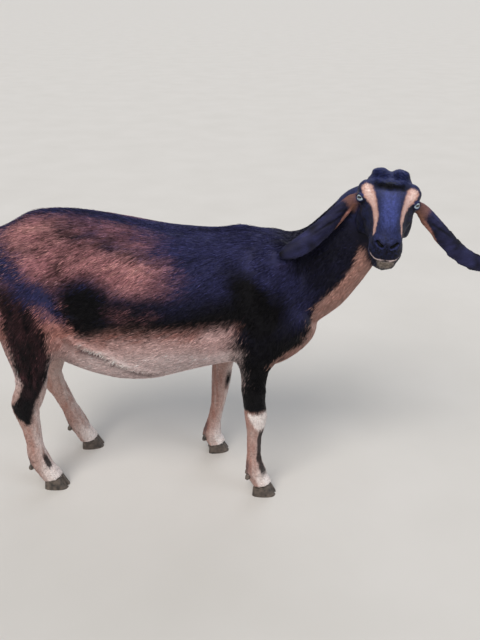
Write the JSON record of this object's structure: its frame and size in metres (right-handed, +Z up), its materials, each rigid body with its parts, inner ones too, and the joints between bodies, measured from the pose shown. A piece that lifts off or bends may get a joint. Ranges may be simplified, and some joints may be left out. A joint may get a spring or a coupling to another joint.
{
  "type": "life-size goat model",
  "caption": "Life-size still model of a long-eared dairy goat standing on its feet with its head turned to its right.",
  "frame": {"origin": "middle of the box's base, on the floor", "axes": "the goat stands along X and faces +X with its right side to -Y, head turned to -Y, +Z up"},
  "size_m": [1.366, 0.4592, 0.8894],
  "materials": {
    "coat_black": "short glossy black hair with a blue sheen",
    "coat_brown": "short chestnut hair mixed with black",
    "coat_tan": "short pale tan hair",
    "hoof_horn": "dark grey worn horn",
    "eye": "wet pale blue-grey iris with a wide dark pupil"
  },
  "bodies": {
    "root": {"barrel": "coat_brown", "chest": "coat_black", "dewclaw_fore_left_inner": "hoof_horn", "dewclaw_fore_left_outer": "hoof_horn", "dewclaw_fore_right_inner": "hoof_horn", "dewclaw_fore_right_outer": "hoof_horn", "dewclaw_hind_left_inner": "hoof_horn", "dewclaw_hind_left_outer": "hoof_horn", "dewclaw_hind_right_inner": "hoof_horn", "dewclaw_hind_right_outer": "hoof_horn", "ear_left": "coat_black", "ear_right": "coat_black", "eye_left": "eye", "eye_right": "eye", "foreleg_left_cannon": "coat_tan", "foreleg_left_forearm": "coat_tan", "foreleg_left_pastern": "coat_tan", "foreleg_right_cannon": "coat_tan", "foreleg_right_forearm": "coat_tan", "foreleg_right_pastern": "coat_tan", "head": "coat_black", "hindleg_left_cannon": "coat_tan", "hindleg_left_gaskin": "coat_tan", "hindleg_left_pastern": "coat_tan", "hindleg_right_cannon": "coat_tan", "hindleg_right_gaskin": "coat_tan", "hindleg_right_pastern": "coat_tan", "hoof_fore_left_inner": "hoof_horn", "hoof_fore_left_outer": "hoof_horn", "hoof_fore_right_inner": "hoof_horn", "hoof_fore_right_outer": "hoof_horn", "hoof_hind_left_inner": "hoof_horn", "hoof_hind_left_outer": "hoof_horn", "hoof_hind_right_inner": "hoof_horn", "hoof_hind_right_outer": "hoof_horn", "neck": "coat_black", "rump": "coat_brown", "tail": "coat_black"}
  },
  "joints": []
}
